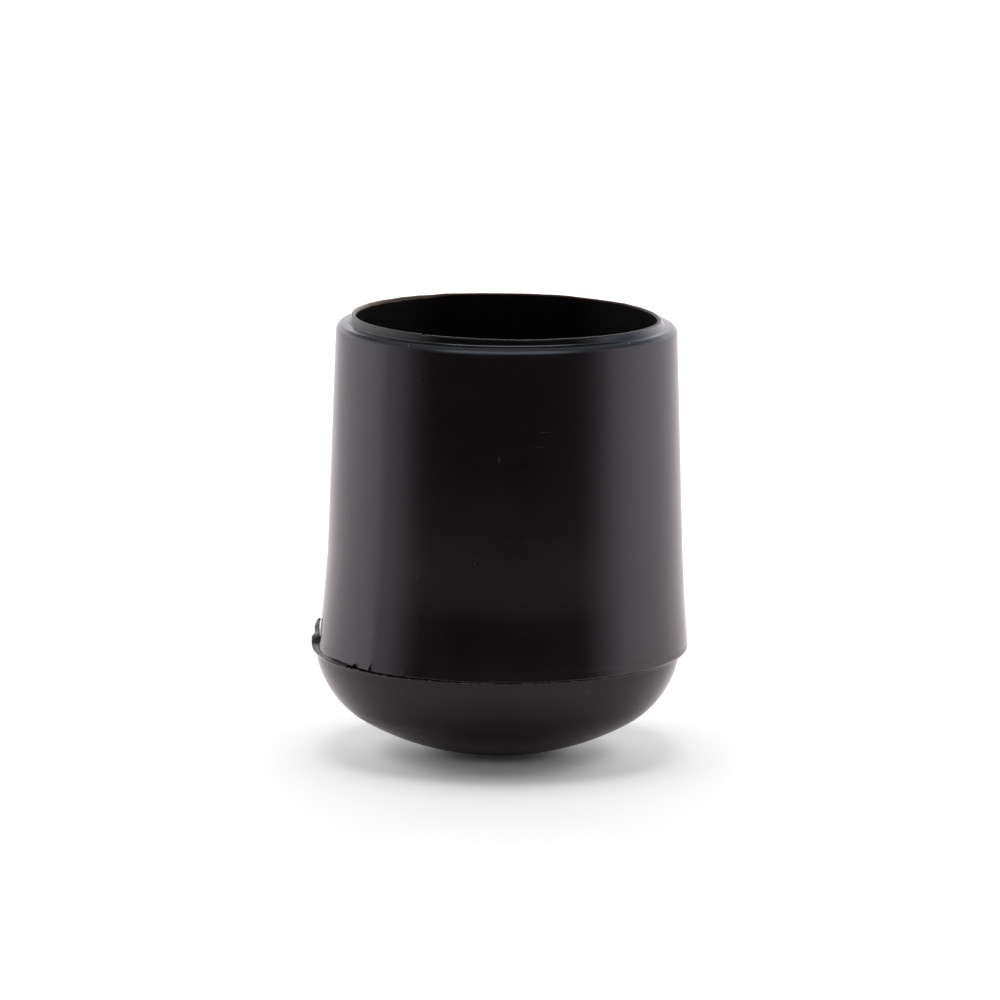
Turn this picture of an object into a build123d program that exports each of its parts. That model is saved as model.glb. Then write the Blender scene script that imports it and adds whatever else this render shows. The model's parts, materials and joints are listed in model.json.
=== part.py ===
from build123d import *
import math
import os

# Slip-over cap for the end of a round chair leg, moulded in one piece.
# Millimetres, +Z up. The origin is on the bore's axis, level with the lowest point of the foot.
# The two halves of the mould meet at the parting plane: the barrel is above it and the foot is below it.

# Bore that grips the tube of the leg
tube_diameter = 25.4
bore_depth = 30.0
bore_floor_chamfer = 1.2

# Barrel, from the parting plane up to the shoulder
barrel_height = 27.8
mouth_wall = 1.6
barrel_draft = 1.92
flare_height = 9.2
flare_reach = 0.32
shoulder_round = 0.75

# Lip round the mouth, trimmed by hand and so not level
lip_wall = 0.3
lip_rise = 0.56
lip_slope = 0.7
lip_blank = 2.0

# Domed foot: a small flat to stand on, then a wide crown arc that runs into a tighter knuckle arc at the side
foot_height = 8.8
foot_flat = 5.0
crown_radius = 23.4
knuckle_radius = 7.7
foot_inset = 0.12

# How far the lower mould half sat out of line, towards -X
mould_shift = 0.54

# Flash that squeezed out on the side of the shift: a thin curled fin that stands beside the barrel
flash_thickness = 0.28
flash_sweep = 42.0
flash_turn = -4.0
flash_rise = 2.65

# Curl of the fin, from root to tip: reach past the barrel's rim and height above the parting plane
flash_curl = ((0.2, -0.25), (0.66, 0.6), (0.42, 1.5), (0.1, flash_rise))

# Torn edge of the fin, from back to front: shares of its half width and of its rise
torn_edge = ((1.0, 0.02), (0.6, 0.5), (0.35, 0.72), (0.05, 1.0), (-0.2, 0.7), (-0.5, 0.35), (-0.9, 0.02))

bore_radius = tube_diameter / 2
shoulder_radius = bore_radius + mouth_wall
draft_slope = math.tan(math.radians(barrel_draft))
flare_start_radius = shoulder_radius + (barrel_height - flare_height) * draft_slope
barrel_rim_radius = shoulder_radius + barrel_height * draft_slope + flare_reach
foot_rim_radius = barrel_rim_radius - foot_inset
parting_z = foot_height
shoulder_z = parting_z + barrel_height
crown_z = math.sqrt(crown_radius**2 - (foot_flat / 2) ** 2)


def barrel():
    """Solid of the barrel: a drafted side that flares towards the parting plane, and a rounded shoulder."""
    shoulder_corner = (shoulder_radius, shoulder_z)
    flare_start = (flare_start_radius, parting_z + flare_height)
    rim = (barrel_rim_radius, parting_z)
    side = Line(shoulder_corner, flare_start)
    flare = TangentArc(flare_start, rim, tangent=side % 1)
    rest = Polyline(rim, (0, parting_z), (0, shoulder_z), shoulder_corner)
    section = make_face(side + flare + rest)
    corner = section.vertices().group_by(Axis.Y)[-1].sort_by(Axis.X)[-1]
    section = fillet(corner, shoulder_round)
    return revolve(Plane.XZ * section, Axis.Z)


def knuckle_centre():
    """Centre of the knuckle arc, which passes through the foot's rim and lies inside the crown arc."""
    inner = crown_radius - knuckle_radius
    rise = foot_height - crown_z
    span = math.hypot(foot_rim_radius, rise)
    along = (inner**2 - knuckle_radius**2 + span**2) / (2 * span)
    across = math.sqrt(inner**2 - along**2)
    ux = foot_rim_radius / span
    uz = rise / span
    return ux * along + uz * across, crown_z + uz * along - ux * across


def foot():
    """Solid of the domed foot, below the parting plane and out of line with the barrel."""
    centre_x, centre_z = knuckle_centre()
    blend_angle = math.atan2(centre_z - crown_z, centre_x)
    blend = (crown_radius * math.cos(blend_angle), crown_z + crown_radius * math.sin(blend_angle))
    rim = (foot_rim_radius, foot_height)
    flat_edge = (foot_flat / 2, 0)
    crown = RadiusArc(flat_edge, blend, -crown_radius)
    knuckle = RadiusArc(blend, rim, -knuckle_radius)
    rest = Polyline(rim, (0, foot_height), (0, 0), flat_edge)
    section = make_face(crown + knuckle + rest)
    return Pos(-mould_shift, 0, 0) * revolve(Plane.XZ * section, Axis.Z)


def lip():
    """Solid of the raised lip before boring, cut off by the slanting plane of the trimming knife."""
    radius = bore_radius + lip_wall
    blank = Pos(0, 0, shoulder_z) * Cylinder(radius, lip_blank, align=(Align.CENTER, Align.CENTER, Align.MIN))
    knife = Plane(origin=(0, 0, shoulder_z + lip_rise)).rotated((0, lip_slope, 0))
    return split(blank, bisect_by=knife, keep=Keep.BOTTOM)


def bore():
    """Cutter for the blind bore, with a chamfer where its wall meets the floor."""
    floor_z = shoulder_z - bore_depth
    height = bore_depth + lip_blank
    cutter = Pos(0, 0, floor_z) * Cylinder(bore_radius, height, align=(Align.CENTER, Align.CENTER, Align.MIN))
    return chamfer(cutter.edges().group_by(Axis.Z)[0], bore_floor_chamfer)


def flash():
    """Fin of flash: a curled strip that follows the parting line, cut to its torn outline."""
    curl = Spline(*[(barrel_rim_radius + reach, parting_z + height) for reach, height in flash_curl])
    strip = revolve(Plane.XZ * trace(curl, flash_thickness), Axis.Z, revolution_arc=flash_sweep)
    strip = Rot(0, 0, 180 + flash_turn - flash_sweep / 2) * strip
    half_width = barrel_rim_radius * math.sin(math.radians(flash_sweep / 2))
    torn = Spline(*[(half_width * across, flash_rise * up) for across, up in torn_edge])
    drop = Vector(0, flash_rise)
    below = Polyline(torn @ 1, torn @ 1 - drop, torn @ 0 - drop, torn @ 0)
    outline = Plane((0, 0, parting_z), x_dir=(0, 1, 0), z_dir=(1, 0, 0)) * make_face(torn + below)
    return strip & extrude(outline, -2 * barrel_rim_radius)


leg_cap = barrel() + foot() + lip() - bore() + flash()

os.makedirs("parts", exist_ok=True)
export_step(leg_cap, "parts/leg_cap.step")
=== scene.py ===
import bpy
import bmesh
import json
import math
from mathutils import Vector, Euler, Matrix, noise

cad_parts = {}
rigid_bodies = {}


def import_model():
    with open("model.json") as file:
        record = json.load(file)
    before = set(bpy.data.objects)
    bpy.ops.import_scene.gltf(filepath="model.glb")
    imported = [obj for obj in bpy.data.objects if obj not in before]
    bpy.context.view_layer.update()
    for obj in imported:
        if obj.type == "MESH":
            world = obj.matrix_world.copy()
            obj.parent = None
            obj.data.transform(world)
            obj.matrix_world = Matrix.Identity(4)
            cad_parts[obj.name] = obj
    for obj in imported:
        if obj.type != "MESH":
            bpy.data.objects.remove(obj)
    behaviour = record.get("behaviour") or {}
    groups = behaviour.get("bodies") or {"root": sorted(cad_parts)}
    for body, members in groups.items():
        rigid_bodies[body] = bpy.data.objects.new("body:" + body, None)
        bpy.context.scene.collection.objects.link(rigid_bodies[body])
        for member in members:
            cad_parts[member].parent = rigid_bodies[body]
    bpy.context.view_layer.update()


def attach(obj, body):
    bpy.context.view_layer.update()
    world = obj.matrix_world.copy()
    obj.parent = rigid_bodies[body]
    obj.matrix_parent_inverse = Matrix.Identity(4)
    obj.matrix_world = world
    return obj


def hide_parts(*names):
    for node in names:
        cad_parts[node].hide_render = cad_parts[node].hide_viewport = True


# chair leg cap: one black moulding, standing on its domed foot
# lengths in the dictionaries are millimetres, angles are degrees
# azimuth runs anticlockwise from +X seen from above: 180 is the side with the flash, 270 faces the camera

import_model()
mm = 0.001


# small helpers for node trees

def addNode(tree, kind, values=None, **settings):
    node = tree.nodes.new(kind)
    for name, value in settings.items():
        setattr(node, name, value)
    for name, value in (values or {}).items():
        socket = node.inputs[name]
        if isinstance(value, bpy.types.NodeSocket):
            tree.links.new(value, socket)
        else:
            socket.default_value = value
    return node


def calc(tree, operation, a, b=None, c=None):
    values = {0: a}
    if b is not None:
        values[1] = b
    if c is not None:
        values[2] = c
    return addNode(tree, "ShaderNodeMath", values, operation=operation).outputs[0]


def times(tree, a, b):
    return calc(tree, "MULTIPLY", a, b)


def plusTimes(tree, a, b, c):
    # a times b, plus c
    return calc(tree, "MULTIPLY_ADD", a, b, c)


def rangeOf(tree, value, fromLow, fromHigh, toLow=0.0, toHigh=1.0):
    values = {"Value": value, "From Min": fromLow, "From Max": fromHigh, "To Min": toLow, "To Max": toHigh}
    return addNode(tree, "ShaderNodeMapRange", values, interpolation_type="SMOOTHSTEP").outputs["Result"]


def fadeOut(tree, value, start, end):
    # 1 below start, 0 above end
    return rangeOf(tree, value, start, end, 1.0, 0.0)


def partsOf(tree, vector):
    return addNode(tree, "ShaderNodeSeparateXYZ", {"Vector": vector}).outputs


def lengthOf(tree, vector):
    return addNode(tree, "ShaderNodeVectorMath", {0: vector}, operation="LENGTH").outputs["Value"]


def distanceFromAxis(tree, place):
    flat = addNode(tree, "ShaderNodeCombineXYZ", {"X": place["X"], "Y": place["Y"]}).outputs[0]
    return lengthOf(tree, flat)


def bumpOf(tree, height, depth):
    values = {"Height": height, "Strength": 1.0, "Distance": depth * mm}
    return addNode(tree, "ShaderNodeBump", values).outputs[0]


def mixColour(tree, share, first, second):
    node = addNode(tree, "ShaderNodeMix", data_type="RGBA")
    for index, value in ((0, share), (6, first), (7, second)):
        if isinstance(value, bpy.types.NodeSocket):
            tree.links.new(value, node.inputs[index])
        else:
            node.inputs[index].default_value = value
    return node.outputs[2]


def newTree(name, kind, inputs, outputs):
    # the sockets come as pairs of a name and a kind
    tree = bpy.data.node_groups.new(name, kind)
    for direction, sockets in (("INPUT", inputs), ("OUTPUT", outputs)):
        for label, holds in sockets:
            tree.interface.new_socket(name=label, in_out=direction, socket_type="NodeSocket" + holds)
    return tree


def linkObject(name, data):
    obj = bpy.data.objects.new(name, data)
    bpy.context.scene.collection.objects.link(obj)
    return obj


# camera

cameraView = {
    "lookAt": (-0.43, 0.0, 21.416),
    "distance": 672.1,
    "elevation": 10.02,
    "roll": 0.38,
    "lens": 286.7,
    "sensor": 36,
    # nearest and farthest visible distance, in metres
    "clip": (0.01, 20),
}


def makeCamera():
    up = math.radians(cameraView["elevation"])
    lens = bpy.data.cameras.new("photoCamera")
    lens.lens = cameraView["lens"]
    lens.sensor_width = cameraView["sensor"]
    lens.clip_start, lens.clip_end = cameraView["clip"]
    camera = linkObject("photoCamera", lens)
    back = Vector((0, -math.cos(up), math.sin(up))) * cameraView["distance"]
    camera.location = (Vector(cameraView["lookAt"]) + back) * mm
    roll = Matrix.Rotation(math.radians(cameraView["roll"]), 3, "Z")
    turn = Euler((math.pi / 2 - up, 0, 0)).to_matrix() @ roll
    camera.rotation_euler = turn.to_euler()
    bpy.context.scene.camera = camera
    print("camera placed")


# turned body of the cap: everything but the flash

capBody = {
    "boreRadius": 12.7,
    "boreFloor": 6.6,
    "boreFloorChamfer": 1.2,
    "floorRings": (0.0, 4.0, 8.0),
    # heights of the rings in the bore's wall, as shares of the way up to just under the shoulder
    "wallRings": (0.2, 0.4, 0.6, 0.8, 0.92, 0.97),
    "wallRingsEnd": 0.3,
    "partingHeight": 8.8,
    "barrelHeight": 27.8,
    "shoulderRadius": 14.3,
    "draft": 1.92,
    "flareHeight": 9.2,
    "flareReach": 0.31,
    "shoulderRound": 0.65,
    "shoulderRoundFrom": 62.0,
    "footInset": 0.12,
    "footFlat": 5.0,
    "crownRadius": 23.4,
    "knuckleRadius": 7.7,
    # inside this radius the crown turns into a power curve, with these rings
    "crownEase": 8.0,
    "crownRings": (7.0, 6.0, 5.0, 4.2, 3.4, 2.6, 1.8, 1.0, 0.4),
    "grooveDepth": 0.2,
    "grooveGap": 0.11,
    "sides": 768,
    # thin lip with a rough trimmed top, from the inside out: reach past the bore and drop below the crest,
    # then the shares that each moulding fault has in the ring: lip, trim, cut and spread
    "lipRise": 0.465,
    "lipRows": (
        (0.0, 0.60, 0.15, 0.0, 0.4, 0.0), (0.0, 0.35, 0.6, 0.0, 0.8, 0.0), (0.0, 0.14, 1.0, 0.0, 1.0, 0.0),
        (0.0, 0.1, 1.0, 1.0, 1.0, 0.0), (0.04, 0.02, 1.0, 1.0, 0.0, 0.0), (0.09, 0.0, 1.0, 1.0, 0.0, 0.0),
        (0.18, 0.0, 1.0, 1.0, 0.0, 0.0), (0.27, 0.01, 1.0, 0.9, 0.0, 0.0),
        (0.303, 0.035, 1.0, 0.7, 0.0, 0.03), (0.31, 0.07, 1.0, 0.1, 0.0, 0.09),
        (0.31, 0.11, 0.9, 0.0, 0.0, 0.17), (0.31, 0.24, 0.5, 0.0, 0.0, 0.45),
    ),
    # root of the lip, then a flat ring that slopes off into the shoulder: reach past the bore and
    # height above the shoulder, then the shares of lip, root and spread
    "rootRows": (
        (0.31, 0.16, 0.2, 0.0, 0.63), (0.31, 0.06, 0.1, 0.0, 0.88), (0.312, 0.02, 0.0, 0.0, 0.96),
        (0.32, 0.006, 0.0, 0.4, 1.0), (0.34, 0.0, 0.0, 1.0, 1.0), (0.37, 0.0, 0.0, 1.0, 1.0),
        (0.45, 0.0, 0.0, 1.0, 0.9), (0.54, 0.0, 0.0, 1.0, 0.75), (0.565, 0.0, 0.0, 0.3, 0.7),
        (0.58, -0.004, 0.0, 0.0, 0.68), (0.64, -0.009, 0.0, 0.0, 0.55), (0.75, -0.018, 0.0, 0.0, 0.32),
        (0.88, -0.03, 0.0, 0.0, 0.1), (1.02, -0.043, 0.0, 0.0, 0.0), (1.15, -0.056, 0.0, 0.0, 0.0),
    ),
    # heights of the flare's rings above the parting plane
    "flareRings": (8.2, 7.2, 6.2, 5.2, 4.3, 3.5, 2.8, 2.2, 1.7, 1.3, 1.0, 0.8),
    # edge of the foot: reach past its rim and drop below the groove, then the share of the burr
    "footEdgeRows": ((-0.09, 0.0, 0.0), (-0.045, 0.0, 0.8), (-0.005, 0.01, 1.0), (0.01, 0.05, 0.3)),
    # chips in the bottom edge of the barrel: azimuth, half width in degrees, height
    "chips": ((217.6, 1.4, 0.27), (224.3, 0.55, 0.42), (237.6, 0.8, 0.12), (246.0, 0.7, 0.08)),
    # scale and detail of the noises that waver round the rims
    "lipNoise": (5.0, 4.0),
    "cutNoise": (9.0, 2.0),
    "gapNoise": (22.0, 2.0),
    "burrNoise": (36.0, 3.0),
    "partingNoise": (4.5, 3.0),
    # azimuths between which the wide cut fades in, and out
    "cutFades": (108.0, 128.0, 172.0, 200.0),
    # how far before its first azimuth the crevice opens, and before its last it closes
    "creviceFades": (14.0, 9.0),
    # the rest goes to the geometry nodes
    "Mould Shift": 0.54,
    "Lip Lift Left": 0.22,
    "Lip Lift Right": 0.01,
    "Lip Lift Front And Rear": 0.05,
    "Lip Cut": 0.17,
    "Lip Spread Right": 0.35,
    "Lip Waver": 0.05,
    "Shoulder Droop Right": 0.14,
    "Flare Left": 0.24,
    "Side Right": 0.07,
    "Rim Round": 0.03,
    "Rim Round Right": 0.3,
    "Crevice": 0.02,
    "Crevice From": 200.0,
    "Crevice To": 219.0,
    "Parting Waver": 0.04,
    "Gap Waver": 0.012,
    "Burr": 0.05,
    "Nick": 0.09,
    "Nick Azimuth": 237.5,
    "Nick Width": 1.3,
    "Seed": 3.7,
}

# what a ring of the profile can have a share of
shareNames = (
    "foot", "lip", "shoulder", "flare", "roundIn", "roundUp", "gap", "groove", "burr", "waver",
    "trim", "cut", "root", "side", "spread",
)


class ProfileRow:
    # one ring of the turned body: radius and height in mm, and how much each fault moves it
    def __init__(self, radius, height, **shares):
        self.radius = radius
        self.height = height
        self.shares = shares


def flareRadius(height):
    # barrel radius at a height above the parting plane
    slope = math.tan(math.radians(capBody["draft"]))
    straight = capBody["shoulderRadius"] + (capBody["barrelHeight"] - height) * slope
    if height >= capBody["flareHeight"]:
        return straight
    start = capBody["flareHeight"]
    chord = Vector((start * slope + capBody["flareReach"], -start))
    down = Vector((slope, -1.0)).normalized()
    outwards = Vector((1.0, slope)).normalized()
    a, b = chord.dot(down), chord.dot(outwards)
    radius = (a * a + b * b) / (2 * b)
    startRadius = capBody["shoulderRadius"] + (capBody["barrelHeight"] - start) * slope
    # halve the arc until its height matches
    low, high = 0.0, math.asin(a / radius)
    for _ in range(40):
        middle = (low + high) / 2
        point = Vector((startRadius, start)) + down * radius * math.sin(middle)
        point += outwards * radius * (1 - math.cos(middle))
        if point.y > height:
            low = middle
        else:
            high = middle
    return point.x


def knuckleCentre(rimRadius, crownHeight):
    # centre of the knuckle arc, which runs into the crown arc and passes through the foot's rim
    knuckle = capBody["knuckleRadius"]
    inner = capBody["crownRadius"] - knuckle
    rise = capBody["partingHeight"] - crownHeight
    span = math.hypot(rimRadius, rise)
    alongSpan = (inner**2 - knuckle**2 + span**2) / (2 * span)
    acrossSpan = math.sqrt(inner**2 - alongSpan**2)
    ux, uz = rimRadius / span, rise / span
    return Vector((ux * alongSpan + uz * acrossSpan, crownHeight + uz * alongSpan - ux * acrossSpan))


def boreRows(shoulder):
    bore, floor, chamfer = capBody["boreRadius"], capBody["boreFloor"], capBody["boreFloorChamfer"]
    rows = [ProfileRow(radius, floor) for radius in capBody["floorRings"]]
    # close rings keep the chamfer crisp
    rows.append(ProfileRow(bore - chamfer - 0.05, floor))
    rows.append(ProfileRow(bore - chamfer, floor))
    rows.append(ProfileRow(bore, floor + chamfer))
    rows.append(ProfileRow(bore, floor + chamfer + 0.05))
    span = shoulder - capBody["wallRingsEnd"] - floor - chamfer
    rows += [ProfileRow(bore, floor + chamfer + span * share) for share in capBody["wallRings"]]
    return rows


def lipRows(shoulder):
    bore = capBody["boreRadius"]
    crest = shoulder + capBody["lipRise"]
    rows = []
    for reach, drop, lip, trim, cut, spread in capBody["lipRows"]:
        shares = {"lip": lip, "shoulder": 1.0, "trim": trim, "cut": cut, "spread": spread}
        rows.append(ProfileRow(bore + reach, crest - drop, **shares))
    for reach, above, lip, root, spread in capBody["rootRows"]:
        shares = {"lip": lip, "shoulder": 1.0, "root": root, "spread": spread}
        rows.append(ProfileRow(bore + reach, shoulder + above, **shares))
    return rows


def shoulderRows(shoulder):
    # arc from the shoulder's slope to the drafted side
    draft, start = math.radians(capBody["draft"]), math.radians(capBody["shoulderRoundFrom"])
    arm = capBody["shoulderRound"]
    centreRadius = capBody["shoulderRadius"] - arm * (1 - math.sin(draft)) / math.cos(draft)
    steps = 12
    rows = []
    for step in range(steps + 1):
        angle = start + (draft - start) * step / steps
        radius, height = centreRadius + arm * math.cos(angle), shoulder - arm + arm * math.sin(angle)
        rows.append(ProfileRow(radius, height, shoulder=1.0 - 0.7 * step / steps, side=step / steps))
    return rows


def sideRows(parting):
    top, bottom = capBody["barrelHeight"] - 1.0, capBody["flareHeight"]
    rings = 8
    rows = []
    for step in range(rings):
        height = top + (bottom - top) * step / (rings - 1)
        droop = max(0.0, 0.3 - 0.1 * step)
        rows.append(ProfileRow(flareRadius(height), parting + height, shoulder=droop, side=1.0))
    for height in capBody["flareRings"]:
        swell = 1 - height / capBody["flareRings"][0]
        side = min(1.0, 0.4 + height * 0.3)
        rows.append(ProfileRow(flareRadius(height), parting + height, flare=swell, side=side))
    return rows


def barrelEdgeRows(parting):
    # close rings keep the bottom edge crisp
    rows = [
        ProfileRow(flareRadius(0.65), parting + 0.65, flare=1.0, waver=0.3, side=0.3),
        ProfileRow(flareRadius(0.25), parting + 0.25, flare=1.0, waver=0.7, side=0.1, gap=0.8, roundUp=1.0),
        ProfileRow(flareRadius(0.03), parting + 0.03, flare=1.0, waver=1.0, gap=1.0, roundUp=1.0),
    ]
    # the rounded edge itself, which gets its size in the nodes
    rim = flareRadius(0.0)
    steps = 6
    for step in range(steps + 1):
        angle = math.pi / 2 * step / steps
        roundIn, roundUp = 1 - math.cos(angle), 1 - math.sin(angle)
        rows.append(ProfileRow(rim, parting, flare=1.0, roundIn=roundIn, roundUp=roundUp, gap=1.0, waver=1.0))
    return rows


def footEdgeRows(parting, footRim):
    # groove under the barrel, then the edge of the foot with its burr
    low = parting - capBody["grooveGap"]
    rows = [
        ProfileRow(0.0, parting, groove=1.0, gap=1.0, waver=1.0),
        ProfileRow(0.0, low, groove=1.0, waver=1.0),
    ]
    for reach, drop, burr in capBody["footEdgeRows"]:
        rows.append(ProfileRow(footRim + reach, low - drop, foot=1.0, burr=burr, waver=1.0))
    return rows


def footRows(parting, footRim):
    crown, knuckle = capBody["crownRadius"], capBody["knuckleRadius"]
    crownHeight = math.sqrt(crown**2 - (capBody["footFlat"] / 2)**2)
    centre = knuckleCentre(footRim, crownHeight)
    blendAngle = math.atan2(centre.y - crownHeight, centre.x)
    rimAngle = math.atan2(parting - centre.y, footRim - centre.x)
    rows = []
    steps = 22
    for step in range(1, steps + 1):
        share = step / steps
        angle = rimAngle + (blendAngle - rimAngle) * share**1.15
        radius, height = centre.x + knuckle * math.cos(angle), centre.y + knuckle * math.sin(angle)
        rows.append(ProfileRow(radius, height, foot=1.0, waver=max(0.0, 1.0 - 2.5 * share)))
    easeRadius = capBody["crownEase"]
    easeAngle = -math.acos(easeRadius / crown)
    steps = 8
    for step in range(1, steps + 1):
        angle = blendAngle + (easeAngle - blendAngle) * step / steps
        rows.append(ProfileRow(crown * math.cos(angle), crownHeight + crown * math.sin(angle), foot=1.0))
    # towards the pole the crown turns into a power curve, so that it touches the floor at one point
    easeHeight = crownHeight + crown * math.sin(easeAngle)
    power = easeRadius / easeHeight * math.tan(math.pi / 2 + easeAngle)
    for radius in capBody["crownRings"]:
        rows.append(ProfileRow(radius, easeHeight * (radius / easeRadius) ** power, foot=1.0))
    rows.append(ProfileRow(0.0, 0.0, foot=1.0))
    return rows


def capProfile():
    parting = capBody["partingHeight"]
    shoulder = parting + capBody["barrelHeight"]
    footRim = flareRadius(0.0) - capBody["footInset"]
    rows = boreRows(shoulder) + lipRows(shoulder) + shoulderRows(shoulder) + sideRows(parting)
    return rows + barrelEdgeRows(parting) + footEdgeRows(parting, footRim) + footRows(parting, footRim)


def wavering(tree, at, noiseName):
    # a value from about -1 to 1 that runs round the rim without a seam
    scale, detail = capBody[noiseName]
    values = {"Vector": at["circle"], "Scale": scale, "Detail": detail}
    node = addNode(tree, "ShaderNodeTexNoise", values, noise_dimensions="3D")
    return times(tree, calc(tree, "SUBTRACT", node.outputs[0], 0.5), 3.0)


def directionOf(tree, given, azimuth):
    # where a point lies round the axis, in the forms that the faults need
    cosine, sine = calc(tree, "COSINE", azimuth), calc(tree, "SINE", azimuth)
    circle = {"X": cosine, "Y": sine, "Z": given["Seed"]}
    return {
        "cosine": cosine,
        "sine": sine,
        "left": calc(tree, "MAXIMUM", times(tree, cosine, -1.0), 0.0),
        "right": calc(tree, "MAXIMUM", cosine, 0.0),
        "turn": calc(tree, "FLOORED_MODULO", calc(tree, "DEGREES", azimuth), 360.0),
        "circle": addNode(tree, "ShaderNodeCombineXYZ", circle).outputs[0],
    }


def rimRoundness(tree, given, at):
    # how round the barrel's bottom edge is
    atRight = calc(tree, "POWER", at["right"], 3.0)
    return plusTimes(tree, atRight, given["Rim Round Right"], given["Rim Round"])


def movedRadius(tree, given, shares, at, radius):
    # the flare bulges at the left and the side at the right, where the lip also runs out into the shoulder
    for share, amount, where in (
        ("flare", "Flare Left", calc(tree, "POWER", at["left"], 2.5)),
        ("side", "Side Right", calc(tree, "POWER", at["right"], 2.0)),
        ("spread", "Lip Spread Right", rangeOf(tree, at["cosine"], 0.4, 0.85)),
    ):
        radius = calc(tree, "ADD", radius, times(tree, times(tree, shares[share], given[amount]), where))
    return calc(tree, "SUBTRACT", radius, times(tree, rimRoundness(tree, given, at), shares["roundIn"]))


def grooveRadius(tree, given, at):
    # inside both the barrel's rim and the shifted edge of the foot
    rim = flareRadius(0.0)
    shift = times(tree, given["Mould Shift"], -1.0)
    footEdge = plusTimes(tree, at["cosine"], shift, (rim - capBody["footInset"]) * mm)
    innerEdge = calc(tree, "MINIMUM", footEdge, rim * mm)
    return calc(tree, "SUBTRACT", innerEdge, capBody["grooveDepth"] * mm)


def lipLift(tree, given, at):
    # the lip isn't level, and it is wavy and nicked
    lift = times(tree, at["left"], given["Lip Lift Left"])
    lift = plusTimes(tree, at["right"], given["Lip Lift Right"], lift)
    lift = plusTimes(tree, calc(tree, "ABSOLUTE", at["sine"]), given["Lip Lift Front And Rear"], lift)
    lift = plusTimes(tree, wavering(tree, at, "lipNoise"), given["Lip Waver"], lift)
    fromNick = calc(tree, "ABSOLUTE", calc(tree, "SUBTRACT", at["turn"], given["Nick Azimuth"]))
    nick = fadeOut(tree, calc(tree, "DIVIDE", fromNick, given["Nick Width"]), 0.3, 1.0)
    return calc(tree, "SUBTRACT", lift, times(tree, nick, given["Nick"]))


def wideCut(tree, at):
    # at the back left the knife left a wide slanting cut inside the lip
    inFrom, inTo, outFrom, outTo = capBody["cutFades"]
    cut = times(tree, rangeOf(tree, at["turn"], inFrom, inTo), fadeOut(tree, at["turn"], outFrom, outTo))
    return times(tree, cut, plusTimes(tree, wavering(tree, at, "cutNoise"), 0.25, 1.0))


def partingOpening(tree, given, at):
    # the parting line opens in a crevice and in the chips
    turn, opensAt, closesAt = at["turn"], given["Crevice From"], given["Crevice To"]
    opensOver, closesOver = capBody["creviceFades"]
    opens = rangeOf(tree, turn, calc(tree, "SUBTRACT", opensAt, opensOver), opensAt)
    closes = fadeOut(tree, turn, calc(tree, "SUBTRACT", closesAt, closesOver), closesAt)
    opening = times(tree, times(tree, opens, closes), given["Crevice"])
    for chipAt, width, depth in capBody["chips"]:
        away = calc(tree, "DIVIDE", calc(tree, "ABSOLUTE", calc(tree, "SUBTRACT", turn, chipAt)), width)
        opening = plusTimes(tree, fadeOut(tree, away, 0.7, 1.0), depth * mm, opening)
    return plusTimes(tree, wavering(tree, at, "gapNoise"), given["Gap Waver"], opening)


def movedHeight(tree, given, shares, at, height):
    height = plusTimes(tree, shares["lip"], lipLift(tree, given, at), height)
    cutDepth = times(tree, times(tree, shares["cut"], wideCut(tree, at)), given["Lip Cut"])
    height = calc(tree, "SUBTRACT", height, cutDepth)
    # the shoulder droops at the right
    droop = times(tree, calc(tree, "POWER", at["right"], 2.0), given["Shoulder Droop Right"])
    height = calc(tree, "SUBTRACT", height, times(tree, shares["shoulder"], droop))
    height = plusTimes(tree, rimRoundness(tree, given, at), shares["roundUp"], height)
    height = plusTimes(tree, shares["gap"], partingOpening(tree, given, at), height)
    unevenness = times(tree, wavering(tree, at, "partingNoise"), given["Parting Waver"])
    return plusTimes(tree, shares["waver"], unevenness, height)


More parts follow.
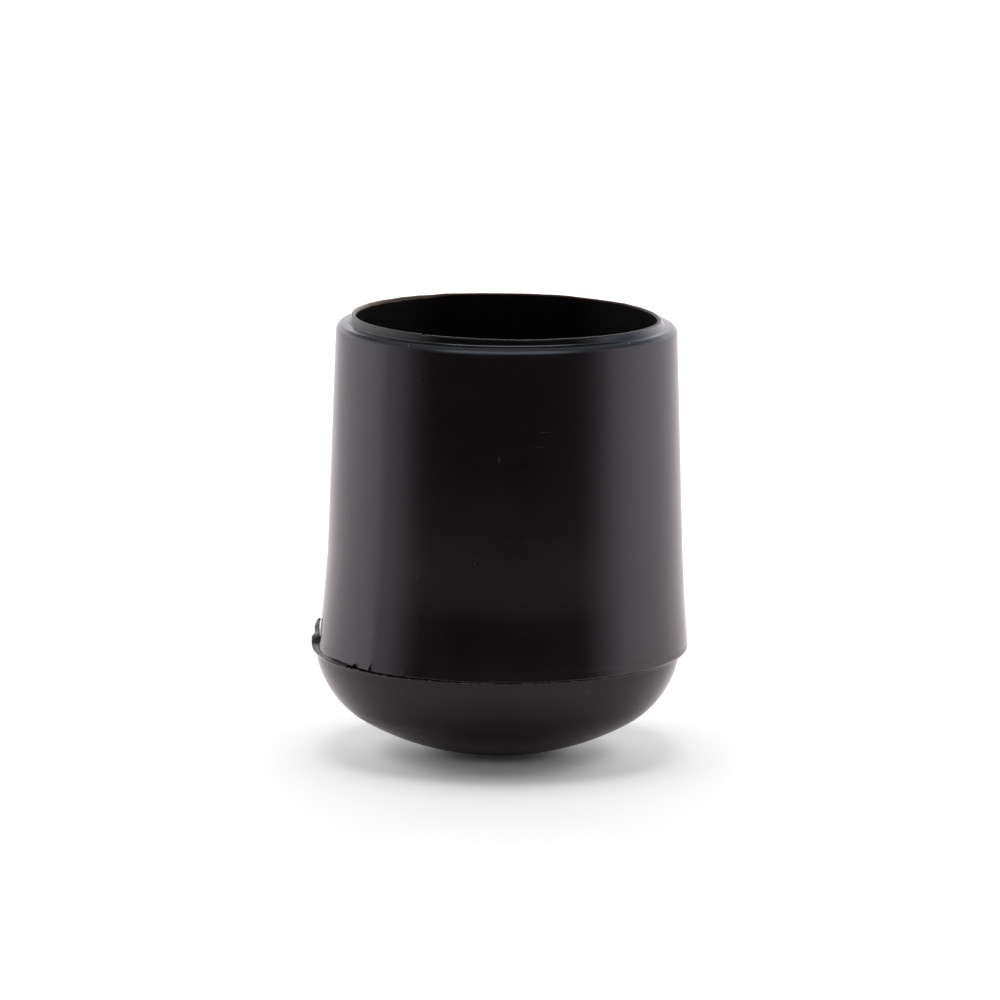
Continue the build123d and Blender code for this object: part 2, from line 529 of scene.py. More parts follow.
def turnedTree():
    # geometry nodes: turns a profile line into a closed body, and lets the moulding faults move its rings
    inputs = [("Geometry", "Geometry"), ("Sides", "Int")]
    inputs += [(key, "Float") for key in capBody if key[0].isupper()]
    inputs += [("Material", "Material")]
    tree = newTree("turnedBody", "GeometryNodeTree", inputs, [("Geometry", "Geometry")])
    given = addNode(tree, "NodeGroupInput").outputs

    # a flat grid with one row per ring of the profile, which is rolled up round the axis
    profile = {"Geometry": given["Geometry"]}
    size = addNode(tree, "GeometryNodeAttributeDomainSize", profile, component="MESH")
    rings = size.outputs["Point Count"]
    columns = calc(tree, "ADD", given["Sides"], 1)
    gridSize = {"Size X": 1.0, "Size Y": 1.0, "Vertices X": columns, "Vertices Y": rings}
    grid = addNode(tree, "GeometryNodeMeshGrid", gridSize)
    position = addNode(tree, "GeometryNodeInputPosition").outputs[0]
    onGrid = partsOf(tree, position)
    around = calc(tree, "ADD", onGrid["X"], 0.5)
    # the seam of the grid lies at the back
    at = directionOf(tree, given, plusTimes(tree, around, 2 * math.pi, math.pi / 2))
    last = calc(tree, "SUBTRACT", rings, 1)
    ring = calc(tree, "ROUND", times(tree, calc(tree, "ADD", onGrid["Y"], 0.5), last))

    def sampled(attribute, kind="FLOAT"):
        # a value of the profile at this ring
        values = {"Geometry": given["Geometry"], "Value": attribute, "Index": ring}
        return addNode(tree, "GeometryNodeSampleIndex", values, data_type=kind, domain="POINT").outputs[0]

    shares = {}
    for name in shareNames:
        named = addNode(tree, "GeometryNodeInputNamedAttribute", {"Name": name}, data_type="FLOAT")
        shares[name] = sampled(named.outputs["Attribute"])
    start = partsOf(tree, sampled(position, "FLOAT_VECTOR"))

    radius = movedRadius(tree, given, shares, at, start["X"])
    inGroove = calc(tree, "GREATER_THAN", shares["groove"], 0.5)
    choice = {"Switch": inGroove, "False": radius, "True": grooveRadius(tree, given, at)}
    radius = addNode(tree, "GeometryNodeSwitch", choice, input_type="FLOAT").outputs[0]
    burrShape = calc(tree, "MAXIMUM", calc(tree, "ADD", wavering(tree, at, "burrNoise"), 0.15), 0.0)
    burr = times(tree, times(tree, burrShape, given["Burr"]), shares["burr"])
    burrSeen = times(tree, shares["burr"], rangeOf(tree, burrShape, 0.05, 0.5))
    radius = plusTimes(tree, burr, 0.5, radius)
    height = calc(tree, "ADD", movedHeight(tree, given, shares, at, start["Z"]), burr)
    footShift = times(tree, shares["foot"], given["Mould Shift"])
    x = calc(tree, "SUBTRACT", times(tree, radius, at["cosine"]), footShift)
    y = times(tree, radius, at["sine"])
    point = addNode(tree, "ShaderNodeCombineXYZ", {"X": x, "Y": y, "Z": height}).outputs[0]

    # stored while the grid is still flat, because the ring numbers come from its positions
    kept = grid.outputs["Mesh"]
    for name, value in (("trim", shares["trim"]), ("burr", burrSeen), ("root", shares["root"])):
        storing = {"Geometry": kept, "Name": name, "Value": value}
        stored = addNode(tree, "GeometryNodeStoreNamedAttribute", storing, data_type="FLOAT", domain="POINT")
        kept = stored.outputs[0]
    # merging closes the seam and the poles
    for kind, values in (
        ("SetPosition", {"Position": point}),
        ("MergeByDistance", {"Distance": 0.0005 * mm}),
        ("SetShadeSmooth", {"Shade Smooth": True}),
        ("RealizeInstances", {}),
        ("SetMaterial", {"Material": given["Material"]}),
    ):
        kept = addNode(tree, "GeometryNode" + kind, {"Geometry": kept, **values}).outputs[0]
    addNode(tree, "NodeGroupOutput", {"Geometry": kept})
    return tree


def setInputs(modifier, tree, values):
    for item in tree.interface.items_tree:
        if item.item_type == "SOCKET" and item.in_out == "INPUT" and item.name in values:
            modifier[item.identifier] = values[item.name]


def makePlainMesh(obj):
    # the object's nodes turned into a plain mesh
    graph = bpy.context.evaluated_depsgraph_get()
    mesh = bpy.data.meshes.new_from_object(obj.evaluated_get(graph))
    obj.modifiers.clear()
    old = obj.data
    obj.data = mesh
    bpy.data.meshes.remove(old)
    return mesh


def closeAndTurnOut(mesh):
    # merges what lies together, turns the faces outward, and gives the open edges and the volume
    work = bmesh.new()
    work.from_mesh(mesh)
    bmesh.ops.remove_doubles(work, verts=work.verts, dist=0.0003 * mm)
    bmesh.ops.dissolve_degenerate(work, edges=work.edges, dist=0.00005 * mm)
    bmesh.ops.recalc_face_normals(work, faces=work.faces)
    openEdges = sum(1 for edge in work.edges if len(edge.link_faces) != 2)
    volume = work.calc_volume(signed=True) / mm**3
    work.to_mesh(mesh)
    work.free()
    mesh.update()
    return openEdges, volume


def makeCapBody(material):
    rows = capProfile()
    profile = bpy.data.meshes.new("capProfile")
    edges = [(i, i + 1) for i in range(len(rows) - 1)]
    profile.from_pydata([(row.radius * mm, 0, row.height * mm) for row in rows], edges, [])
    for name in shareNames:
        attribute = profile.attributes.new(name, "FLOAT", "POINT")
        attribute.data.foreach_set("value", [row.shares.get(name, 0.0) for row in rows])
    body = linkObject("capBody", profile)
    tree = turnedTree()
    turned = body.modifiers.new("turned", "NODES")
    turned.node_group = tree
    # azimuths, the nick's width and the seed go in as they are, everything else is a length
    notLengths = ("Azimuth", "Width", "From", "To", "Seed")
    values = {}
    for key, value in capBody.items():
        if key[0].isupper():
            values[key] = value if key.split()[-1] in notLengths else value * mm
    values.update({"Sides": capBody["sides"], "Material": material})
    setInputs(turned, tree, values)
    mesh = makePlainMesh(body)
    openEdges, volume = closeAndTurnOut(mesh)
    print("cap body:", len(rows), "rings,", len(mesh.polygons), "faces, open edges", openEdges,
          "volume mm3", round(volume))
    return body


# flash: a thin torn fin that curls up beside the barrel

flashFin = {
    "thickness": 0.16,
    # a low ridge along the parting line behind: azimuths of its ends, its height and how far outside
    # the rim it is
    "ridgeFrom": 158.0,
    "ridgeTo": 196.0,
    "ridgeRise": 0.35,
    "ridgeOut": 0.24,
    # a ribbon that peels off towards the front, from root to tip: its outer edge, which makes the silhouette,
    # and its inner edge close to the barrel
    "outerEdge": (
        (-13.2, -9.35, 8.8), (-13.9, -8.25, 8.85), (-14.6, -6.9, 8.85), (-15.25, -4.6, 8.7),
        (-15.85, -2, 8.5), (-16.2, -0.8, 8.75), (-16.3, -0.3, 9.25), (-16.25, -0.2, 9.7),
        (-16.05, -0.1, 9.95), (-16.05, 0, 10.5), (-15.9, 0, 10.9), (-15.65, -0.6, 11.3),
    ),
    "innerEdge": (
        (-13.05, -8.35, 8.7), (-13.75, -7.15, 8.8), (-14.35, -5.8, 8.9), (-14.85, -4.35, 8.95),
        (-15.15, -3.15, 9.15), (-15.35, -1.8, 9.25), (-15.55, -0.55, 9.4), (-15.55, -1.7, 10.05),
        (-15.6, -1.3, 10.3), (-15.6, -1.1, 10.75), (-15.55, -1, 11.15), (-15.55, -0.9, 11.35),
    ),
    # the torn edges and the creases: how much, and how fast they change along the strip
    "ragged": 0.07,
    "raggedScale": 34,
    "crumple": 0.03,
    "creaseScale": 22,
    "fineCreaseScale": 70,
    "rings": 240,
    "points": 28,
    "seed": 11,
}


def along(points, share):
    # smooth curve through the listed points, share from 0 to 1
    place = share * (len(points) - 1)
    index = min(int(place), len(points) - 2)
    t = place - index
    p0 = Vector(points[max(index - 1, 0)])
    p1 = Vector(points[index])
    p2 = Vector(points[index + 1])
    p3 = Vector(points[min(index + 2, len(points) - 1)])
    slopeAtStart = (p2 - p0) * t
    bend = (2 * p0 - 5 * p1 + 4 * p2 - p3) * t**2
    twist = (3 * p1 - p0 - 3 * p2 + p3) * t**3
    return 0.5 * (2 * p1 + slopeAtStart + bend + twist)


def loft(work, rings):
    # skin over closed rings of equal length, with a fan of faces at each end
    corners = [[work.verts.new(point * mm) for point in ring] for ring in rings]
    for first, second in zip(corners, corners[1:]):
        for i in range(len(first)):
            j = (i + 1) % len(first)
            work.faces.new((first[i], first[j], second[j], second[i]))
    for ring in (corners[0], corners[-1]):
        middle = work.verts.new(sum((corner.co for corner in ring), Vector()) / len(ring))
        for i in range(len(ring)):
            work.faces.new((ring[i], ring[(i + 1) % len(ring)], middle))


def noiseAt(a, b):
    return noise.noise(Vector((a, b, flashFin["seed"])))


def ribbonRings():
    # flattened ovals along the ribbon, crumpled a little
    rings = []
    for step in range(flashFin["rings"] + 1):
        share = step / flashFin["rings"]
        outer, inner = along(flashFin["outerEdge"], share), along(flashFin["innerEdge"], share)
        middle, half = (outer + inner) / 2, (outer - inner) / 2
        ahead = along(flashFin["outerEdge"], min(share + 0.02, 1.0))
        before = along(flashFin["outerEdge"], max(share - 0.02, 0.0))
        facing = half.cross(ahead - before).normalized()
        # thinner where the ribbon is narrow
        thick = flashFin["thickness"] / 2 * min(1.0, half.length / 0.12)
        ring = []
        for i in range(flashFin["points"]):
            turn = 2 * math.pi * i / flashFin["points"]
            across, deep = math.cos(turn), math.sin(turn)
            ragged = 1 + flashFin["ragged"] * noiseAt(share * flashFin["raggedScale"], 2.0 * (across > 0))
            crease = noiseAt(share * flashFin["creaseScale"], across * 1.6)
            crease += 0.5 * noiseAt(share * flashFin["fineCreaseScale"], across * 4)
            point = middle + half * across * ragged
            point += facing * (deep * thick * abs(deep) ** 0.3 + crease * flashFin["crumple"])
            ring.append(point)
        rings.append(ring)
    return rings


def ridgeRings():
    # a low thin ridge on the parting line, highest in its middle
    centreRadius, parting = flareRadius(0.0) + flashFin["ridgeOut"], capBody["partingHeight"]
    start, end = flashFin["ridgeFrom"], flashFin["ridgeTo"]
    rings = []
    for step in range(flashFin["rings"] + 1):
        share = step / flashFin["rings"]
        turn = math.radians(start + (end - start) * share)
        swell = math.sin(math.pi * share) ** 0.6
        torn = 1 + 0.5 * noiseAt(share * 16, 3.1) + 0.25 * noiseAt(share * 60, 8.3)
        high = flashFin["ridgeRise"] * swell * torn / 2 + 0.02
        thick = flashFin["thickness"] / 2 * (0.3 + 0.7 * swell)
        ring = []
        for i in range(flashFin["points"]):
            angle = 2 * math.pi * i / flashFin["points"]
            radius = centreRadius + thick * math.cos(angle)
            height = parting - 0.1 + high + high * math.sin(angle)
            ring.append(Vector((radius * math.cos(turn), radius * math.sin(turn), height)))
        rings.append(ring)
    return rings


def makeFlashFin(material):
    work = bmesh.new()
    loft(work, ridgeRings())
    loft(work, ribbonRings())
    mesh = bpy.data.meshes.new("flashFin")
    work.to_mesh(mesh)
    work.free()
    openEdges, volume = closeAndTurnOut(mesh)
    mesh.polygons.foreach_set("use_smooth", [True] * len(mesh.polygons))
    mesh.materials.append(material)
    print("flash fin:", len(mesh.polygons), "faces, open edges", openEdges, "volume mm3", round(volume, 2))
    return linkObject("flashFin", mesh)


# materials

blackFinish = {
    "colour": (0.0022, 0.0009, 0.0015, 1),
    "streaked": (0.0056, 0.0042, 0.0048, 1),
    "trimmed": (0.014, 0.011, 0.008, 1),
    "rearTrimmed": (0.04, 0.016, 0.005, 1),
    # painted highlight in the cut at the back left
    "cutHighlight": (0.125, 0.098, 0.07, 1),
    # the burr's own paler grey, with a painted highlight along the foot's rim
    "burrWithHighlight": (0.06, 0.06, 0.062, 1),
    # painted highlight on the root of the lip
    "rootHighlight": (0.26, 0.285, 0.34, 1),
    # painted shade in the bore, and painted light on its sides
    "boreShaded": (0.0016, 0.0014, 0.0014, 1),
    "boreSidesLit": (0.012, 0.0115, 0.0118, 1),
    "lipWall": (0.028, 0.026, 0.025, 1),
    "dust": (0.16, 0.165, 0.17, 1),
    # light scuffs and specks, then dark dents: azimuth, height, half width, half height, strength
    "scuffs": (
        (282.9, 29.6, 0.9, 0.045, 0.09), (281.6, 29.15, 0.7, 0.04, 0.07), (283.4, 28.85, 0.6, 0.04, 0.06),
        (281.2, 28.4, 0.8, 0.05, 0.08), (267.9, 27.35, 0.05, 0.32, 0.25), (240.1, 33.65, 0.09, 0.09, 0.3),
        (260.5, 18.65, 0.09, 0.08, 0.3), (235.3, 36.35, 0.08, 0.1, 0.9), (197.5, 36.9, 0.1, 0.12, 0.9),
        (316.4, 36.4, 0.09, 0.1, 0.8),
    ),
    "dents": ((202.3, 10.9, 0.05, 0.17, 0.7), (210.1, 10.4, 0.06, 0.14, 0.7), (208.0, 23.0, 0.08, 0.08, 0.4)),
    "markDepth": 3.0,
    # start and end of the fades. Heights: smooth flare to satin barrel, foot to barrel, underside with its
    # painted shade to side, turning lines up to the shoulder, all marks from the flare upwards
    "satinFade": (12.8, 15.6),
    "footFade": (8.6, 8.9),
    "underFade": (0.5, 5.6),
    "shoulderFade": (31.0, 36.4),
    "marksFade": (15.0, 26.0),
    # angle from the front, in radians, up to which a highlight is painted on the root of the lip
    "rootHighlightFade": (0.3, 0.5),
    # distances from the axis between which the outer wall of the lip is scraped, and x at the left
    "scrapedFrom": (12.9, 12.97),
    "scrapedTo": (13.1, 13.3),
    "scrapedLeft": (-9.0, -5.0),
    "barrelRoughness": 0.19,
    "flareRoughness": 0.135,
    "barrelGloss": 0.5,
    "footGloss": 0.3,
    # gloss left under the foot, turned down as painted shade
    "underShadeGloss": 0.15,
    "index": 1.5,
    "lineDensity": 7.0,
    "grainDensity": 9.0,
    "bumpDepth": 0.012,
}


def mouldGrainGroup():
    # fine marks of the mould: turning lines, short strokes, a soft cloud and a grain
    inputs = [("Vector", "Vector"), ("Line Density", "Float"), ("Grain Density", "Float")]
    outputs = [(name, "Float") for name in ("Lines", "Strokes", "Cloud", "Grain")]
    tree = newTree("mouldGrain", "ShaderNodeTree", inputs, outputs)
    given = addNode(tree, "NodeGroupInput").outputs
    # height less radius, so that the lines run round the side and round the shoulder alike
    place = partsOf(tree, given["Vector"])
    upwards = calc(tree, "SUBTRACT", place["Z"], distanceFromAxis(tree, place))
    upwards = times(tree, upwards, given["Line Density"])

    def stretched(share):
        x, y = times(tree, place["X"], share), times(tree, place["Y"], share)
        return addNode(tree, "ShaderNodeCombineXYZ", {"X": x, "Y": y, "Z": upwards}).outputs[0]

    def noiseOf(vector, scale, detail, **more):
        values = {"Vector": vector, "Scale": scale, "Detail": detail, **more}
        return addNode(tree, "ShaderNodeTexNoise", values).outputs[0]

    strokes = noiseOf(stretched(0.55), 1.0, 2.0, Roughness=0.6)
    addNode(tree, "NodeGroupOutput", {
        "Lines": noiseOf(stretched(0.035), 1.0, 3.0, Roughness=0.65),
        "Strokes": rangeOf(tree, strokes, 0.6, 0.74),
        "Cloud": noiseOf(given["Vector"], 0.2, 3.0),
        "Grain": noiseOf(given["Vector"], given["Grain Density"], 1.0),
    })
    return tree


def markGroup():
    # mask of one small mark at a given place: 1 inside, 0 outside
    inputs = [(name, "Vector") for name in ("Vector", "Place", "Turn", "Size")]
    tree = newTree("mark", "ShaderNodeTree", inputs, [("Mask", "Float")])
    given = addNode(tree, "NodeGroupInput").outputs
    values = {"Vector": given["Vector"], "Location": given["Place"]}
    values.update({"Rotation": given["Turn"], "Scale": given["Size"]})
    local = addNode(tree, "ShaderNodeMapping", values, vector_type="TEXTURE").outputs[0]
    away = lengthOf(tree, local)
    addNode(tree, "NodeGroupOutput", {"Mask": fadeOut(tree, away, 0.45, 1.0)})
    return tree


def startMaterial(name):
    material = bpy.data.materials.new(name)
    material.use_nodes = True
    tree = material.node_tree
    tree.nodes.clear()
    coordinates = addNode(tree, "ShaderNodeTexCoord").outputs["Object"]
    scaled = {"Vector": coordinates, "Scale": (1 / mm, 1 / mm, 1 / mm)}
    inMm = addNode(tree, "ShaderNodeMapping", scaled).outputs[0]
    return material, tree, inMm


def finishMaterial(tree, values):
    shader = addNode(tree, "ShaderNodeBsdfPrincipled", values)
    addNode(tree, "ShaderNodeOutputMaterial", {"Surface": shader.outputs[0]})


def storedMask(tree, name):
    return addNode(tree, "ShaderNodeAttribute", attribute_name=name).outputs["Fac"]


def markedAt(tree, inMm, group, marks):
    # all the listed marks together: azimuth, height, half width, half height and strength
    radius = capBody["shoulderRadius"] + 0.6
    mask = 0.0
    for azimuth, height, wide, high, strength in marks:
        turn = math.radians(azimuth)
        node = addNode(tree, "ShaderNodeGroup", {
            "Vector": inMm,
            "Place": (radius * math.cos(turn), radius * math.sin(turn), height),
            "Turn": (0, 0, turn),
            "Size": (blackFinish["markDepth"], wide, high),
        }, node_tree=group)
        mask = calc(tree, "MAXIMUM", times(tree, node.outputs["Mask"], strength), mask)
    return mask


def dustMask(tree, inMm):
    # rare faint spots
    scatter = {"Vector": inMm, "Scale": 0.42, "Randomness": 1.0}
    cells = addNode(tree, "ShaderNodeTexVoronoi", scatter, feature="F1").outputs
    spot = fadeOut(tree, cells["Distance"], 0.012, 0.035)
    chance = addNode(tree, "ShaderNodeSeparateColor", {"Color": cells["Color"]}).outputs[0]
    rare = calc(tree, "GREATER_THAN", chance, 0.8)
    return times(tree, times(tree, spot, rare), 0.5)


def plasticMasks(tree, inMm, place):
    # where the finish changes
    oneMark = markGroup()
    masks = {name: storedMask(tree, name) for name in ("trim", "burr", "root")}
    masks["scuffed"] = markedAt(tree, inMm, oneMark, blackFinish["scuffs"])
    masks["dented"] = markedAt(tree, inMm, oneMark, blackFinish["dents"])
    masks["dust"] = dustMask(tree, inMm)
    # a highlight is painted on the root of the lip, full in front and faint elsewhere
    fromFront = calc(tree, "ABSOLUTE", calc(tree, "ARCTAN2", place["X"], times(tree, place["Y"], -1.0)))
    rootHighlight = rangeOf(tree, fromFront, *blackFinish["rootHighlightFade"], 1.0, 0.25)
    masks["root"] = times(tree, masks["root"], rootHighlight)
    # the outer wall of the lip is scraped at the left
    fromAxis = distanceFromAxis(tree, place)
    onWall = rangeOf(tree, fromAxis, *blackFinish["scrapedFrom"])
    onWall = times(tree, onWall, fadeOut(tree, fromAxis, *blackFinish["scrapedTo"]))
    masks["scraped"] = times(tree, fadeOut(tree, place["X"], *blackFinish["scrapedLeft"]), onWall)
    # the bore, without its trimmed edge, where shade and light are painted
    boreEnd = capBody["boreRadius"]
    aboveFloor = calc(tree, "GREATER_THAN", place["Z"], capBody["boreFloor"] - 0.1)
    inBore = times(tree, fadeOut(tree, fromAxis, boreEnd, boreEnd + 0.02), aboveFloor)
    masks["bore"] = times(tree, inBore, calc(tree, "SUBTRACT", 1.0, masks["trim"]))
    return masks


def cutColour(tree, place):
    # the trimmed crest of the lip: browner at the rear, and in the cut at the back left a painted highlight
    rear = rangeOf(tree, place["Y"], 0.0, 6.0)
    colour = mixColour(tree, rear, blackFinish["trimmed"], blackFinish["rearTrimmed"])
    paler = times(tree, fadeOut(tree, place["X"], -9.0, -4.0), rangeOf(tree, place["Y"], -5.0, 1.0))
    return mixColour(tree, paler, colour, blackFinish["cutHighlight"])


def plasticColour(tree, marks, place, masks):
    streak = times(tree, marks["Strokes"], 0.6)
    streak = plusTimes(tree, rangeOf(tree, marks["Lines"], 0.36, 0.64), 0.5, streak)
    colour = mixColour(tree, streak, blackFinish["colour"], blackFinish["streaked"])
    # painted shade in the bore, with painted light at its sides
    sideways = rangeOf(tree, calc(tree, "ABSOLUTE", place["X"]), 5.0, 10.5)
    inside = mixColour(tree, sideways, blackFinish["boreShaded"], blackFinish["boreSidesLit"])
    for mask, above in (
        (masks["trim"], cutColour(tree, place)),
        # paler burr with a painted highlight along the foot's rim
        (masks["burr"], blackFinish["burrWithHighlight"]),
        (masks["bore"], inside),
        (masks["scraped"], blackFinish["lipWall"]),
        # painted highlight on the root of the lip
        (masks["root"], blackFinish["rootHighlight"]),
        (calc(tree, "MAXIMUM", masks["dust"], masks["scuffed"]), blackFinish["dust"]),
    ):
        colour = mixColour(tree, mask, colour, above)
    return colour


def plasticRoughness(tree, marks, place, masks):
    # the barrel is satin, the flare and the foot are smoother
    smooth, satin = blackFinish["flareRoughness"], blackFinish["barrelRoughness"]
    rough = rangeOf(tree, place["Z"], *blackFinish["satinFade"], smooth, satin)
    rough = plusTimes(tree, calc(tree, "SUBTRACT", marks["Cloud"], 0.5), 0.05, rough)
    torn = calc(tree, "MAXIMUM", masks["trim"], calc(tree, "MAXIMUM", masks["burr"], masks["root"]))
    rough = plusTimes(tree, torn, 0.3, rough)
    return plusTimes(tree, masks["scraped"], 0.2, rough)


def plasticHeight(tree, marks, place):
    # turning lines are strongest on the shoulder and just under it, and all marks are faint on the flare
    # and the foot
    height = times(tree, marks["Lines"], rangeOf(tree, place["Z"], *blackFinish["shoulderFade"], 0.3, 1.0))
    height = plusTimes(tree, marks["Grain"], 0.12, height)
    height = plusTimes(tree, marks["Strokes"], 0.1, height)
    return times(tree, height, rangeOf(tree, place["Z"], *blackFinish["marksFade"], 0.2, 0.8))


def plasticGloss(tree, place, masks):
    # the foot is duller than the barrel, and underneath its gloss is turned down further as painted shade
    dull, glossy = blackFinish["footGloss"], blackFinish["barrelGloss"]
    gloss = rangeOf(tree, place["Z"], *blackFinish["footFade"], dull, glossy)
    worn = calc(tree, "MAXIMUM", masks["dented"], times(tree, masks["trim"], 0.85))
    gloss = times(tree, gloss, calc(tree, "SUBTRACT", 1.0, worn))
    shadeUnder = rangeOf(tree, place["Z"], *blackFinish["underFade"], blackFinish["underShadeGloss"], 1.0)
    return times(tree, gloss, shadeUnder)


def blackPlastic(grainGroup):
    material, tree, inMm = startMaterial("blackPlastic")
    densities = {"Line Density": blackFinish["lineDensity"], "Grain Density": blackFinish["grainDensity"]}
    marks = addNode(tree, "ShaderNodeGroup", {"Vector": inMm, **densities}, node_tree=grainGroup).outputs
    place = partsOf(tree, inMm)
    masks = plasticMasks(tree, inMm, place)
    finishMaterial(tree, {
        "Base Color": plasticColour(tree, marks, place, masks),
        "Roughness": plasticRoughness(tree, marks, place, masks),
        "IOR": blackFinish["index"],
        "Specular IOR Level": plasticGloss(tree, place, masks),
        "Normal": bumpOf(tree, plasticHeight(tree, marks, place), blackFinish["bumpDepth"]),
    })
    return material


flashFinish = {
    "colour": (0.019, 0.019, 0.02, 1),
    "paler": (0.085, 0.083, 0.08, 1),
    # painted shade along the root
    "root": (0.013, 0.013, 0.0135, 1),
    "roughness": 0.5,
    "gloss": 0.3,
    "grainDensity": 4.0,
    "bumpDepth": 0.03,
}


def tornFlash(grainGroup):
    # the fin: the same plastic, creased and paler where it was stretched
    material, tree, inMm = startMaterial("tornFlash")
    density = {"Vector": inMm, "Grain Density": flashFinish["grainDensity"]}
    grain = addNode(tree, "ShaderNodeGroup", density, node_tree=grainGroup).outputs["Grain"]
    patches = {"Vector": inMm, "Scale": 2.6, "Detail": 4.0, "Roughness": 0.6}
    mottle = addNode(tree, "ShaderNodeTexNoise", patches).outputs[0]
    colour = mixColour(tree, rangeOf(tree, mottle, 0.42, 0.68), flashFinish["colour"], flashFinish["paler"])
    # painted shade along its root, towards the front
    shadeAtRoot = rangeOf(tree, partsOf(tree, inMm)["Y"], -4.6, -3.0, 0.95, 0.0)
    finishMaterial(tree, {
        "Base Color": mixColour(tree, shadeAtRoot, colour, flashFinish["root"]),
        "Roughness": plusTimes(tree, calc(tree, "SUBTRACT", grain, 0.5), 0.2, flashFinish["roughness"]),
        "Specular IOR Level": flashFinish["gloss"],
        "Normal": bumpOf(tree, plusTimes(tree, grain, 0.5, mottle), flashFinish["bumpDepth"]),
    })
    return material


# floor and world

studio = {
    "floorColour": (0.96, 0.96, 0.96, 1),
    # the floor as the camera sees it, white round the shadow, and as the gloss sees it
    "floorSeen": (1.2, 1.2, 1.2, 1),
    "floorMirrored": (1.27, 1.165, 1.215, 1),
    # under the foot little light comes in: distances from the axis, and how much darker the gloss sees it
    "underFoot": (8, 25),
    "underFootDark": 0.5,
    "floorRadius": 114.0,
    "floorBack": 900.0,
    # light for the floor and its shadow: an even part, then soft lights, each with its azimuths from the
    # front (both sides alike), its elevations and its strength
    "evenLight": 0.05,
    "softLights": (
        (0, 180, 77, 90, 4.3),
        (0, 48, 20, 31.5, 1.9),
        (48, 130, 39, 56, 2.2),
        (135, 180, 0, 21, 10.8),
        (0, 100, 0, 12, 0.7),
    ),
    "softEdge": 5.0,
    # what the gloss reflects. How bright the walls are, by azimuth from the camera (minus is to its left):
    # soft boxes at the sides, dark in front
    "walls": (
        (-180, 1.06), (-138, 1.08), (-108, 1.4), (-91, 1.4), (-87, 0.88), (-77, 0.84), (-65, 0.36),
        (-54, 0.06), (-30, 0.02), (20, 0.02), (50, 0.07), (60, 0.3), (68, 0.62), (82, 1.26), (98, 1.42),
        (130, 1.15), (180, 1.1),
    ),
    "brightestWall": 2.0,
    "wallTop": (22.0, 38.0),
    "ceiling": 0.5,
    # where the walls end it is dimmer behind: fully at the far side, and less towards the left and the right.
    # Elevations, how much, share of it that is left at the sides, and azimuths from the camera of its fades
    "dimRise": (21.0, 40.0),
    "dimmed": 0.75,
    "dimSides": 0.3,
    "dimLeft": (-150.0, -95.0),
    "dimRight": (140.0, 172.0),
    "dimBehind": (80.0, 100.0),
    # soft light in front, above the camera, and a faint far wall at the horizon
    "frontLight": 1.25,
    "frontLightRise": (24, 58),
    "frontFade": (38.0, 62.0),
    "horizon": 0.26,
    "horizonRise": (0.5, 2.0),
    # tint of the walls, and of the ceiling from the given elevations upwards
    "tint": (1.03, 0.985, 1.045, 1),
    "tintRise": (12.0, 26.0),
    "ceilingTint": (0.91, 1.0, 1.17, 1),
}


def makeFloor():
    # a table that is round in front and runs far back
    radius, back = studio["floorRadius"] * mm, studio["floorBack"] * mm
    turns = [math.radians(turn) for turn in range(180, 361, 4)]
    corners = [(radius * math.cos(turn), radius * math.sin(turn), 0) for turn in turns]
    corners += [(radius, back, 0), (-radius, back, 0)]
    mesh = bpy.data.meshes.new("floor")
    mesh.from_pydata(corners, [], [tuple(range(len(corners)))])
    floor = linkObject("floor", mesh)
    material = bpy.data.materials.new("paleFloor")
    material.use_nodes = True
    tree = material.node_tree
    tree.nodes.clear()
    path = addNode(tree, "ShaderNodeLightPath").outputs
    colour = mixColour(tree, path["Is Camera Ray"], studio["floorColour"], studio["floorSeen"])
    place = addNode(tree, "ShaderNodeTexCoord").outputs["Object"]
    near, far = studio["underFoot"]
    shadeUnder = rangeOf(tree, lengthOf(tree, place), near * mm, far * mm, studio["underFootDark"], 0.0)
    mirrored = mixColour(tree, shadeUnder, studio["floorMirrored"], (0, 0, 0, 1))
    colour = mixColour(tree, path["Is Glossy Ray"], colour, mirrored)
    shader = addNode(tree, "ShaderNodeBsdfDiffuse", {"Color": colour})
    addNode(tree, "ShaderNodeOutputMaterial", {"Surface": shader.outputs[0]})
    mesh.materials.append(material)


def patch(tree, value, low, high):
    # 1 between low and high, with soft edges
    edge = studio["softEdge"]
    begins = rangeOf(tree, value, low - edge, low + edge)
    return times(tree, begins, fadeOut(tree, value, high - edge, high + edge))


def openEnd(value, end, beyond):
    # an edge at the end of its scale moves beyond it, so that the patch doesn't fade there
    return value + beyond if value == end else value


def floorLight(tree, rise, fromFront):
    # what lights the floor
    light = studio["evenLight"]
    for fromAzimuth, toAzimuth, low, high, strength in studio["softLights"]:
        here = patch(tree, rise, low, openEnd(high, 90, 20))
        if toAzimuth - fromAzimuth < 180:
            sector = patch(tree, fromFront, openEnd(fromAzimuth, 0, -20), openEnd(toAzimuth, 180, 20))
            here = times(tree, here, sector)
        light = plusTimes(tree, here, strength, light)
    return light


def wallLight(tree, azimuth):
    ramp = addNode(tree, "ShaderNodeValToRGB", {"Fac": plusTimes(tree, azimuth, 0.5 / math.pi, 0.5)})
    elements = ramp.color_ramp.elements
    while len(elements) < len(studio["walls"]):
        elements.new(0.5)
    for element, (place, value) in zip(elements, studio["walls"]):
        element.position = place / 360 + 0.5
        element.color = (value / studio["brightestWall"],) * 3 + (1,)
    return times(tree, ramp.outputs["Color"], studio["brightestWall"])


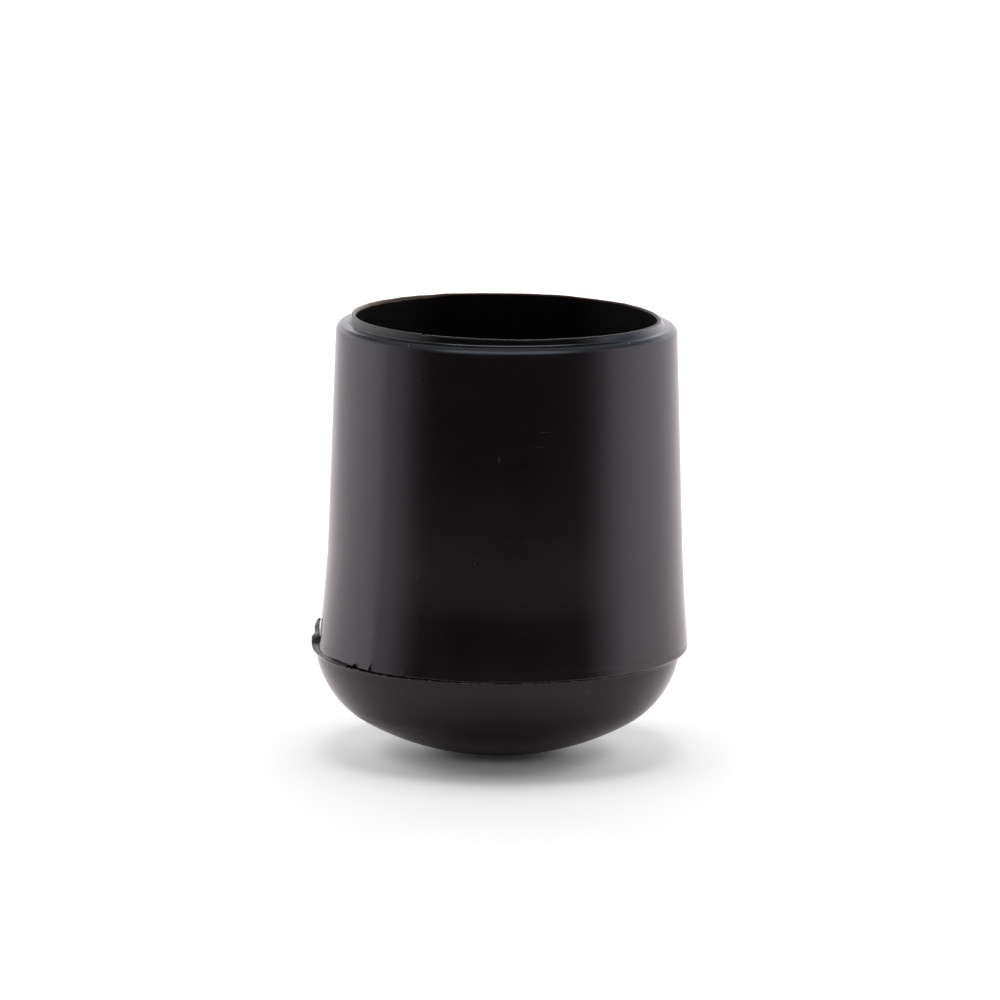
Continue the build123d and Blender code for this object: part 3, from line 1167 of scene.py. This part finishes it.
def mirroredLight(tree, azimuth, rise, fromFront):
    # what the gloss reflects: walls, over them a dimmer ceiling, and in front the light and the far wall
    over = rangeOf(tree, rise, *studio["wallTop"])
    walls = times(tree, wallLight(tree, azimuth), calc(tree, "SUBTRACT", 1.0, over))
    upper = plusTimes(tree, over, studio["ceiling"], walls)
    turned = calc(tree, "DEGREES", azimuth)
    atLeft = rangeOf(tree, turned, *studio["dimLeft"], 1.0, studio["dimSides"])
    dim = calc(tree, "MAXIMUM", atLeft, rangeOf(tree, turned, *studio["dimRight"]))
    dim = times(tree, dim, rangeOf(tree, fromFront, *studio["dimBehind"]))
    dim = times(tree, dim, patch(tree, rise, *studio["dimRise"]))
    upper = times(tree, upper, plusTimes(tree, dim, -studio["dimmed"], 1.0))
    ahead = fadeOut(tree, fromFront, *studio["frontFade"])
    strip = times(tree, patch(tree, rise, *studio["frontLightRise"]), studio["frontLight"])
    strip = plusTimes(tree, rangeOf(tree, rise, *studio["horizonRise"]), studio["horizon"], strip)
    return plusTimes(tree, strip, ahead, upper)


def makeWorld():
    world = bpy.data.worlds.new("studio")
    bpy.context.scene.world = world
    world.use_nodes = True
    tree = world.node_tree
    tree.nodes.clear()
    direction = addNode(tree, "ShaderNodeTexCoord").outputs["Generated"]
    part = partsOf(tree, direction)
    azimuth = calc(tree, "ARCTAN2", part["X"], times(tree, part["Y"], -1.0))
    fromFront = calc(tree, "ABSOLUTE", calc(tree, "DEGREES", azimuth))
    rise = calc(tree, "DEGREES", calc(tree, "ARCSINE", part["Z"]))

    def background(colour, strength):
        return addNode(tree, "ShaderNodeBackground", {"Color": colour, "Strength": strength}).outputs[0]

    # the floor and the plastic get the soft lights, the gloss the mirrored room, the camera plain white
    white = (1, 1, 1, 1)
    tintRise = rangeOf(tree, rise, *studio["tintRise"])
    tint = mixColour(tree, tintRise, studio["tint"], studio["ceilingTint"])
    plain = background(white, floorLight(tree, rise, fromFront))
    mirrored = background(tint, mirroredLight(tree, azimuth, rise, fromFront))
    path = addNode(tree, "ShaderNodeLightPath").outputs
    reflected = calc(tree, "MAXIMUM", path["Is Glossy Ray"], path["Is Transmission Ray"])
    lit = addNode(tree, "ShaderNodeMixShader", {0: reflected, 1: plain, 2: mirrored}).outputs[0]
    seen = {0: path["Is Camera Ray"], 1: lit, 2: background(white, 1.0)}
    addNode(tree, "ShaderNodeOutputWorld", {"Surface": addNode(tree, "ShaderNodeMixShader", seen).outputs[0]})


def makeStudio():
    makeFloor()
    makeWorld()
    bpy.context.scene.view_settings.view_transform = "Standard"
    print("studio lit")


makeCamera()
grainGroup = mouldGrainGroup()
body = makeCapBody(blackPlastic(grainGroup))
fin = makeFlashFin(tornFlash(grainGroup))
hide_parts("leg_cap")
for piece in (body, fin):
    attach(piece, "root")
makeStudio()
